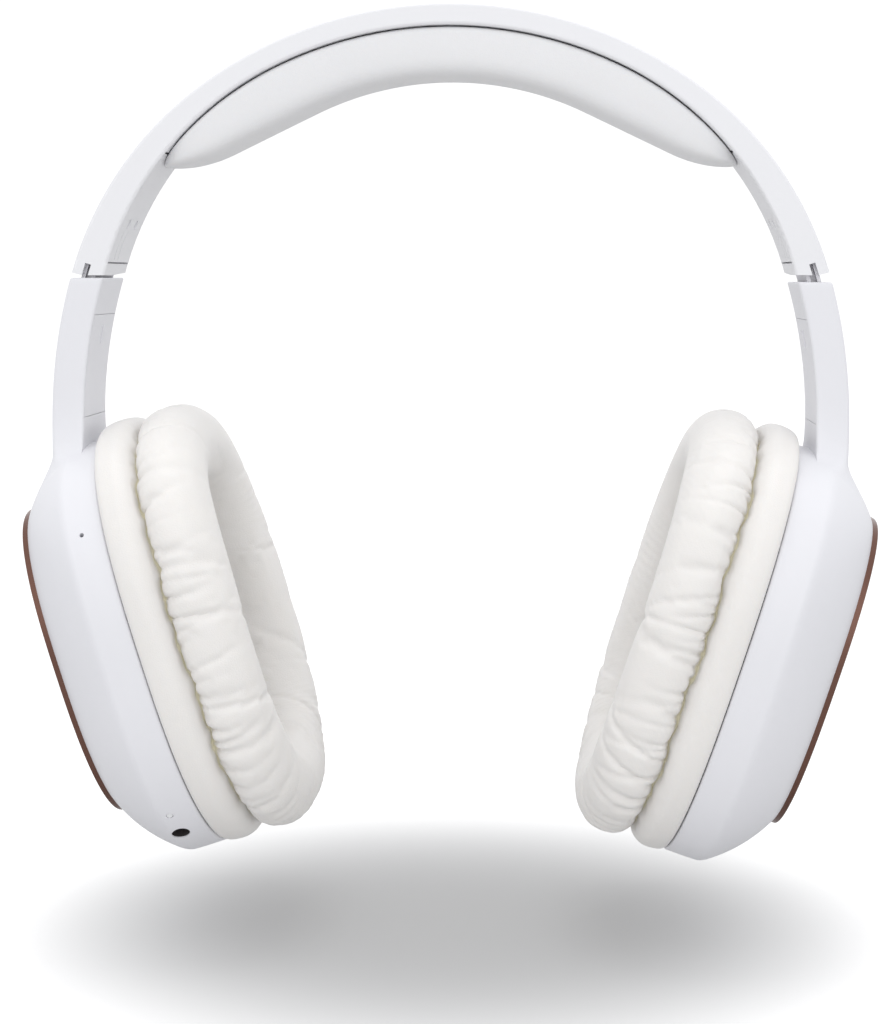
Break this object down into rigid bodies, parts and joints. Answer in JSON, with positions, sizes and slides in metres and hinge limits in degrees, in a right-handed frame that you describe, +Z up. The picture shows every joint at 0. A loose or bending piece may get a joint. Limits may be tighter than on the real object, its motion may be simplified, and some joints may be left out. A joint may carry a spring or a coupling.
{
  "type": "over ear headphones",
  "caption": "Over-ear headphones: arched headband with padded crown, curved sliding arms, and tilted oval cups with gathered leatherette cushions.",
  "frame": {"origin": "underside of the head pad at its crown, where it rests on the head", "axes": "+Z up, +X along the headband's span to the cup without sockets, +Y to the rear; the object is close to symmetric about X = 0"},
  "size_m": [0.1752, 0.0734, 0.1738],
  "materials": {
    "band_plastic": "moulded, fine satin",
    "housing_plastic": "moulded, fine satin",
    "tongue_plastic": "moulded, smooth",
    "pad_leatherette": "soft leatherette, fine grain",
    "cushion_leatherette": "soft leatherette, fine grain, gathered seam",
    "ring_metal": "anodised rose brown, turned",
    "cap_plastic": "smooth, slightly glossy",
    "spring_steel": "rolled strip",
    "screw_steel": "zinc plated",
    "basket_steel": "pressed",
    "magnet_iron": "nickel plated",
    "diaphragm_film": "thin film",
    "inner_plastic": "moulded",
    "speaker_cloth": "fine woven cloth",
    "board_laminate": "solder mask",
    "socket_plastic": "moulded",
    "socket_steel": "plated shell",
    "light_pipe": "clear moulding",
    "battery_wrap": "foil pouch",
    "button_plastic": "moulded"
  },
  "bodies": {
    "headband": {"headband_shell": "band_plastic", "headband_spring_strip": "spring_steel", "pad_base": "inner_plastic", "head_pad": "pad_leatherette", "inner_cover_left": "band_plastic", "inner_cover_right": "band_plastic", "slide_spring_left": "spring_steel", "slide_spring_right": "spring_steel"},
    "arm_left": {"arm_cover_left": "housing_plastic", "baffle_plate_left": "inner_plastic", "cup_housing_left": "housing_plastic", "cup_screws_left": "screw_steel", "cushion_carrier_left": "inner_plastic", "disc_cap_left": "cap_plastic", "disc_ring_left": "ring_metal", "driver_basket_left": "basket_steel", "driver_diaphragm_left": "diaphragm_film", "driver_magnet_left": "magnet_iron", "ear_cushion_left": "cushion_leatherette", "slider_tongue_left": "tongue_plastic", "speaker_cloth_left": "speaker_cloth", "tongue_screws_left": "screw_steel", "main_board": "board_laminate", "button_board": "board_laminate", "audio_socket": "socket_plastic", "charging_socket": "socket_steel", "status_light": "light_pipe", "microphone": "socket_steel"},
    "arm_right": {"arm_cover_right": "housing_plastic", "baffle_plate_right": "inner_plastic", "cup_housing_right": "housing_plastic", "cup_screws_right": "screw_steel", "cushion_carrier_right": "inner_plastic", "disc_cap_right": "cap_plastic", "disc_ring_right": "ring_metal", "driver_basket_right": "basket_steel", "driver_diaphragm_right": "diaphragm_film", "driver_magnet_right": "magnet_iron", "ear_cushion_right": "cushion_leatherette", "slider_tongue_right": "tongue_plastic", "speaker_cloth_right": "speaker_cloth", "tongue_screws_right": "screw_steel", "battery": "battery_wrap"},
    "button_volume_down": {"button_volume_down": "button_plastic"},
    "button_play": {"button_play": "button_plastic"},
    "button_volume_up": {"button_volume_up": "button_plastic"}
  },
  "joints": [
    {"name": "arm_left_slide", "type": "hinge", "parent": "headband", "child": "arm_left", "pos_m": [0.0111, 0, -0.06516], "axis": [0, -1, 0], "range_deg": [0, 13.02]},
    {"name": "arm_right_slide", "type": "hinge", "parent": "headband", "child": "arm_right", "pos_m": [-0.0111, 0, -0.06516], "axis": [0, 1, 0], "range_deg": [-0.59, 12.44]},
    {"name": "button_volume_down_press", "type": "slide", "parent": "arm_left", "child": "button_volume_down", "axis": [0, -1, 0], "range_m": [0, 0.0005], "stiffness_N_per_m": 1500, "springref_m": -0.0002},
    {"name": "button_play_press", "type": "slide", "parent": "arm_left", "child": "button_play", "axis": [0, -1, 0], "range_m": [0, 0.0005], "stiffness_N_per_m": 1500, "springref_m": -0.0002},
    {"name": "button_volume_up_press", "type": "slide", "parent": "arm_left", "child": "button_volume_up", "axis": [0, -1, 0], "range_m": [0, 0.0005], "stiffness_N_per_m": 1500, "springref_m": -0.0002}
  ]
}
